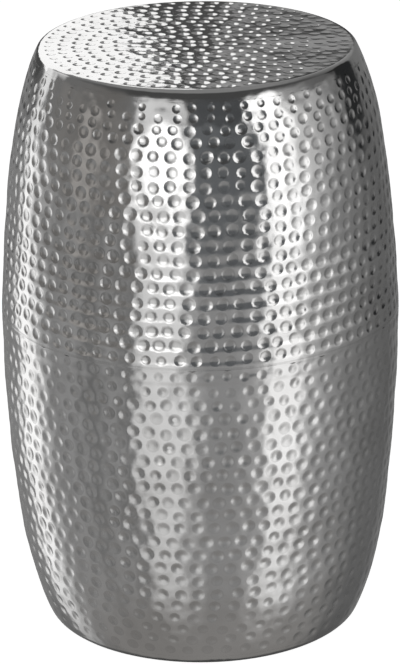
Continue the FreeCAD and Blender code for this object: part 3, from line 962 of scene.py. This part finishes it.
def round_the_rim(edge):
    """Whether an edge of the top lies on the rim and runs round the axis at one radius."""
    first, last = (top_net.data.vertices[i] for i in edge.vertices)
    change = math.hypot(first.co.x, first.co.y) - math.hypot(last.co.x, last.co.y)
    return out_on_rim(first) and out_on_rim(last) and abs(change) < 0.0001


pick(top_net, "EDGE", lambda edge: rings_of(edge) == {RINGS - 1})
rim_leans = [math.pi / 2 + (rim_lean - math.pi / 2) * i / TOP_RIM_STEPS for i in range(TOP_RIM_STEPS + 1)]
over_the_rim = [(ring_radii[-1], TOP), *(rim_point(lean) for lean in rim_leans)]
pull_along([*over_the_rim, (wall_radius(top_seam), top_seam)])
pick(top_net, "EDGE", round_the_rim)
bpy.ops.mesh.subdivide(number_cuts=1)
pick(top_net, "VERT", lambda vertex: not out_on_rim(vertex))
bpy.ops.transform.vertex_random(offset=0.0008, uniform=1.0, normal=0.0, seed=4)
apply_modifier(top_net, "SHRINKWRAP", target=form, wrap_method="NEAREST_SURFACEPOINT")
pick(top_net, "FACE", lambda face: face.normal.z < 0.0)
bpy.ops.mesh.flip_normals()
bpy.ops.object.mode_set(mode="OBJECT")
print("top net:", len(top_net.data.vertices), "points")

# %% [markdown]
# The top's blows are sharp: they drop at once behind their lip and go on to a
# hollow bottom. The hammer was lighter at the right-hand edge, so a single
# force for the whole top would not do.

# %% Strike the top
SHARP_DISH = ((0.07, 0.0), (0.21, 0.44), (0.36, 0.42))
TOP_FACE = 0.0045
TOP_FORCE = 1.2
FORCE_LOSS = 1.3
LIGHTER_FROM = 0.050
LIGHTER_SPAN = 0.035


def light_hand(place):
    """Force of a blow on the top, less toward the right-hand edge."""
    return TOP_FORCE - min(FORCE_LOSS, max(0.0, place.x - LIGHTER_FROM) / LIGHTER_SPAN)


struck = [v.index for v in top_net.data.vertices if not out_on_rim(v)]
sizes = blow_sizes(top_net, struck, lambda place: TOP_FACE, 55)
hammer(
    top_net, sizes, dish=SHARP_DISH, depth=1.35, force=light_hand, swell=0.0,
    metals=(top_ridges, top_blows), seed=56,
)
print("blows on the top:", len(sizes))

# %% [markdown]
# The cap is one sheet with the parts that nobody sees: a step inwards under the
# rim, a skirt behind the wall, and the plain underside. They could be a second
# mesh, but pulling the open edge on along them closes the sheet without a seam.

# %% Close the top
FIT_GAP = 0.0001
SEAM_SLACK = 0.0003
SKIRT_STEPS = 3
BEND_DROP = 0.0012
BEND_WIDTH = 0.005
LAST_RADIUS = 0.012
skirt_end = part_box("top_plate")[0][2]
seat, back = SHEET + FIT_GAP, 2 * SHEET + FIT_GAP
underside = TOP - SHEET
skirt_heights = [top_seam + (skirt_end - top_seam) * i / SKIRT_STEPS for i in range(SKIRT_STEPS + 1)]
hidden = [(wall_radius(top_seam), top_seam)]
hidden += [(wall_radius(height, seat), height) for height in skirt_heights]
hidden += [(wall_radius(height, back), height) for height in reversed(skirt_heights)]
hidden += [(disc_radius, underside - BEND_DROP), (disc_radius - BEND_WIDTH, underside)]
hidden += [(LAST_RADIUS, underside)]
pick(top_net, "EDGE", lambda edge: lies_level(top_net, edge, top_seam, SEAM_SLACK))
pull_along(hidden)
bpy.ops.mesh.merge(type="CENTER")
bpy.ops.mesh.select_all(action="SELECT")
bpy.ops.mesh.normals_make_consistent(inside=False)
bpy.ops.object.mode_set(mode="OBJECT")
bpy.ops.object.shade_smooth_by_angle(angle=SMOOTH_ANGLE, keep_sharp_edges=True)
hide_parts("top_plate")
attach(top_net, "root")
print(top_net.name, "faces:", len(top_net.data.polygons))

# %% [markdown]
# ## The welds
# Three thin rings of weld metal close the drum at the rim, the girth and the
# base. They were ground down and polished with the sheet. A torus would stand
# out as a bead, so each is a fine spun ring that follows the outline. Only the
# girth weld was ground a little too low and polished less. It shows as a faint
# line, so its ring dips in the middle and has a duller metal.

# %% Weld rings
GIRTH_DIP = 0.00006
WELD_STEPS = 4
dressed_weld = bright_metal(
    "dressed_weld", (0.82, 0.815, 0.808), (0.68, 0.673, 0.665), smooth=0.14, hazy=0.28, grain=0.08,
)
for weld in WELDS:
    at_girth = weld == "girth_weld"
    dip = GIRTH_DIP if at_girth else 0.0
    low, high = (corner[2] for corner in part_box(weld))
    heights = [low + (high - low) * i / WELD_STEPS for i in range(WELD_STEPS + 1)]
    depths = [0.0, 0.5 * dip, dip, 0.5 * dip, 0.0]
    section = [(wall_radius(height, depth), height) for height, depth in zip(heights, depths)]
    section += [(wall_radius(height, SHEET), height) for height in reversed(heights)]
    ring = spun(weld + "_ring", [*section, section[0]], EDGE_POINTS)
    ring.data.materials.append(dressed_weld if at_girth else ridge_metal)
    bpy.ops.object.shade_smooth_by_angle(angle=SMOOTH_ANGLE)
    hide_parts(weld)
    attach(ring, "root")
    print(ring.name, "faces:", len(ring.data.polygons))

# %% [markdown]
# ## Pieces that stay as the CAD made them
# The rolled base, the band behind the girth, the wire in the curled edge, the
# feet and their screws have their right shapes already, and new ones would add
# nothing that can be seen. They only take finishes: bright metal, plain sheet,
# zinc plate, drawn wire and moulded rubber.


# %% Finishes of the CAD nodes
def moulded_rubber(name, colour, worn_colour):
    """Matt black rubber, greyer where it has rubbed on floors, with a fine moulded grain."""
    rubber = bpy.data.materials.new(name)
    rubber.use_nodes = True
    nodes, links = rubber.node_tree.nodes, rubber.node_tree.links
    shader = nodes["Principled BSDF"]
    place = nodes.new("ShaderNodeTexCoord").outputs["Object"]
    scuff = link_noise(nodes, links, place, scale=120.0, detail=5.0)
    grain = link_noise(nodes, links, place, scale=1800.0, detail=2.0)
    tint = two_colours(nodes, links, scuff, 0.42, colour, 0.72, worn_colour)
    links.new(tint, shader.inputs["Base Color"])
    matt = nodes.new("ShaderNodeMapRange")
    matt.inputs["To Min"].default_value = 0.62
    matt.inputs["To Max"].default_value = 0.88
    links.new(scuff, matt.inputs["Value"])
    links.new(matt.outputs["Result"], shader.inputs["Roughness"])
    bump = nodes.new("ShaderNodeBump")
    bump.inputs["Strength"].default_value = 0.25
    bump.inputs["Distance"].default_value = 0.0003
    links.new(grain, bump.inputs["Height"])
    links.new(bump.outputs["Normal"], shader.inputs["Normal"])
    return rubber


rolled_base = bright_metal("rolled_base", RUBBED, (0.77, 0.763, 0.755), smooth=0.08, hazy=0.20, grain=0.04)
mill_sheet = bright_metal(
    "mill_sheet", (0.66, 0.66, 0.67), (0.56, 0.56, 0.57), smooth=0.32, hazy=0.50, grain=0.10,
)
drawn_wire = bright_metal(
    "drawn_wire", (0.48, 0.48, 0.49), (0.38, 0.38, 0.39), smooth=0.25, hazy=0.42, grain=0.08,
)
zinc_plate = bright_metal(
    "zinc_plate", (0.60, 0.61, 0.62), (0.47, 0.48, 0.49), smooth=0.24, hazy=0.42, grain=0.08,
)
foot_rubber = moulded_rubber("foot_rubber", (0.022, 0.022, 0.023), (0.060, 0.058, 0.055))
finishes = {"base_ring": rolled_base, "girth_band": mill_sheet, "edge_wire": drawn_wire}
for number in range(1, 5):
    finishes[f"foot_{number}"] = foot_rubber
    for fastener in ("foot_screw", "foot_washer", "foot_nut"):
        finishes[f"{fastener}_{number}"] = zinc_plate
for name, finish in finishes.items():
    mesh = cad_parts[name].data
    mesh.materials.clear()
    mesh.materials.append(finish)
print("finished CAD nodes:", len(finishes))

# %% [markdown]
# ## The guide goes
# The smooth form was only a guide, so it goes.

bpy.ops.object.select_all(action="DESELECT")
bpy.data.objects.remove(form)
